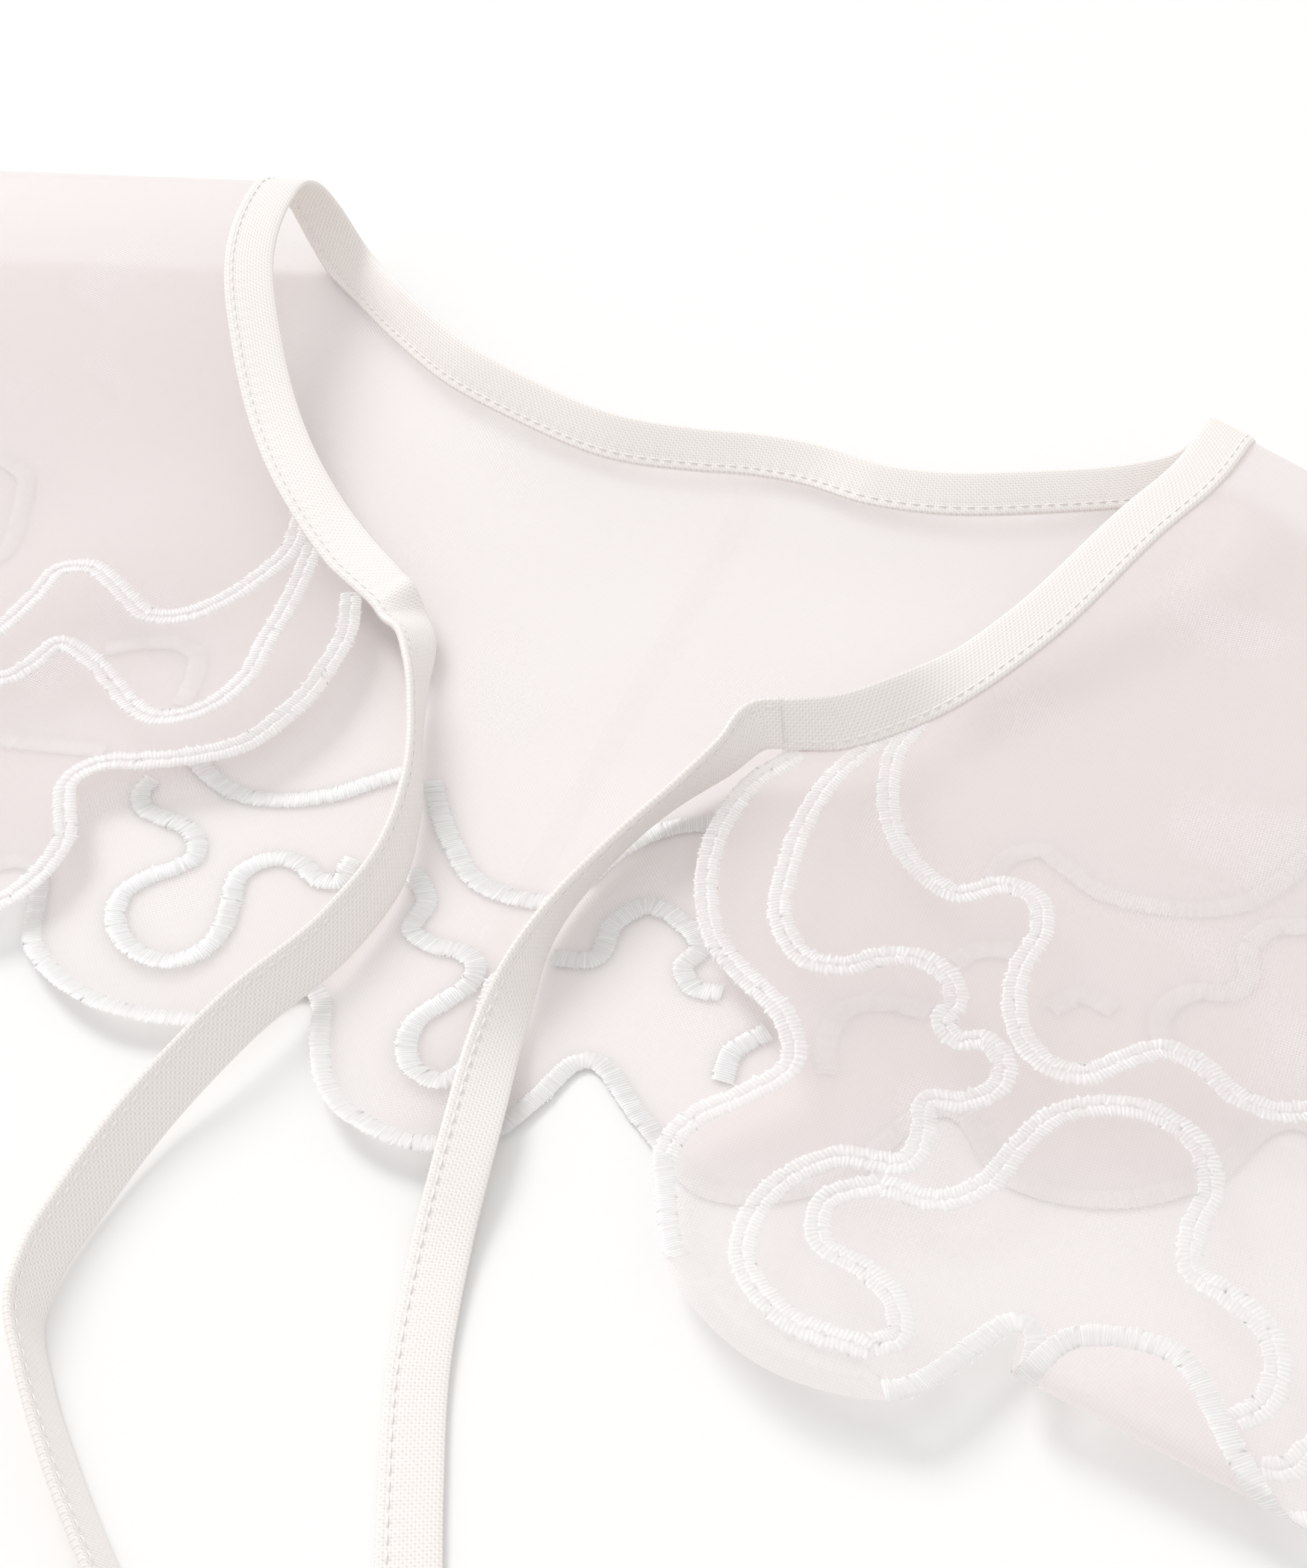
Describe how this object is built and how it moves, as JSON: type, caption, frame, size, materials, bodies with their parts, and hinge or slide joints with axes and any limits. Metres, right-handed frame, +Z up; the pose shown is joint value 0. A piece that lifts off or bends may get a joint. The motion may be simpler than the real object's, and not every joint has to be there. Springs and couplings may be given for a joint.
{
  "type": "detachable collar",
  "caption": "Wide sheer cape-style collar with scalloped embroidered edges, a bound neckline and two long tie ends, lying flat and folded over at the shoulders.",
  "frame": {"origin": "on the table, under the middle of the lying collar's box", "axes": "+Z up from the table, +Y from the hem of the back towards the neck, +X along the shoulders to the right of the picture"},
  "size_m": [0.5687, 0.3396, 0.0274],
  "materials": {
    "organza": "sheer, slight sheen",
    "embroidery": "satin stitched thread",
    "bias_satin": "matt satin twill"
  },
  "bodies": {
    "root": {"collar_left": "organza", "collar_right": "organza", "neck_binding": "bias_satin", "tie_left": "bias_satin", "tie_right": "bias_satin"}
  },
  "joints": []
}
